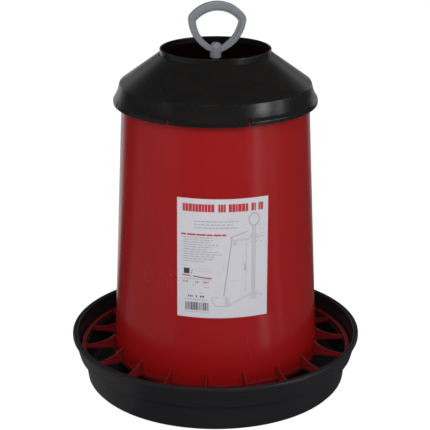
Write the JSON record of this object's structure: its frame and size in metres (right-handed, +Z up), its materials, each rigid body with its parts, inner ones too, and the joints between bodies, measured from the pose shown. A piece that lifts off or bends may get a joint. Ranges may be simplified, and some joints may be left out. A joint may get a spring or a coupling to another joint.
{
  "type": "gravity poultry feeder",
  "caption": "Gravity poultry feeder: tapered hopper tube on a central rod above a round tray, with a finned anti-waste ring, open-collared conical lid and ring handle.",
  "frame": {"origin": "centre of the tray's foot ring, on the ground under the rod's axis", "axes": "+Z up along the rod, -Y is the front with the label, +X to the right seen from the front"},
  "size_m": [0.42, 0.42, 0.554],
  "materials": {
    "black_tray_plastic": "satin moulded polypropylene",
    "black_lid_plastic": "glossy moulded polypropylene",
    "red_shell_plastic": "satin moulded polypropylene",
    "red_grille_plastic": "satin moulded polypropylene",
    "grey_handle_plastic": "fine-grained moulded plastic",
    "black_nut_plastic": "moulded nylon",
    "black_bridge_plastic": "moulded polypropylene",
    "zinc_steel": "zinc plated",
    "label_paper": "coated paper"
  },
  "bodies": {
    "stand": {"feed_tray": "black_tray_plastic", "threaded_rod": "zinc_steel", "tray_washer_upper": "zinc_steel", "tray_washer_lower": "zinc_steel", "tray_nut_upper": "black_nut_plastic", "tray_nut_lower": "black_nut_plastic"},
    "hopper": {"feed_shell": "red_shell_plastic", "anti_waste_grille": "red_grille_plastic", "label": "label_paper", "bridge": "black_bridge_plastic", "bridge_washer_upper": "zinc_steel", "bridge_washer_lower": "zinc_steel", "bridge_screw_1": "zinc_steel", "bridge_screw_2": "zinc_steel", "bridge_screw_3": "zinc_steel", "bridge_screw_4": "zinc_steel"},
    "lower_bridge_nut": {"bridge_nut_lower": "black_nut_plastic"},
    "upper_bridge_nut": {"bridge_nut_upper": "black_nut_plastic"},
    "lid": {"lid": "black_lid_plastic"},
    "handle": {"handle": "grey_handle_plastic"}
  },
  "joints": [
    {"name": "feed_gap_slide", "type": "slide", "parent": "stand", "child": "hopper", "axis": [0, 0, 1], "range_m": [0, 0.025]},
    {"name": "adjusting_nut_turn", "type": "hinge", "parent": "hopper", "child": "lower_bridge_nut", "pos_m": [0, 0, 0.406], "axis": [0, 0, 1], "range_deg": [0, 6000]},
    {"name": "lock_nut_turn", "type": "hinge", "parent": "hopper", "child": "upper_bridge_nut", "pos_m": [0, 0, 0.444], "axis": [0, 0, 1], "range_deg": [0, 6000]},
    {"name": "lid_lift", "type": "slide", "parent": "hopper", "child": "lid", "axis": [0, 0, 1], "range_m": [0, 0.16]},
    {"name": "handle_turn", "type": "hinge", "parent": "stand", "child": "handle", "pos_m": [0, 0, 0.485], "axis": [0, 0, 1], "range_deg": [0, 360]}
  ],
  "couplings": [
    {"joint": "feed_gap_slide", "follows": "adjusting_nut_turn", "m_per_rad": 0.00023873},
    {"joint": "lock_nut_turn", "follows": "adjusting_nut_turn", "ratio": 1}
  ]
}
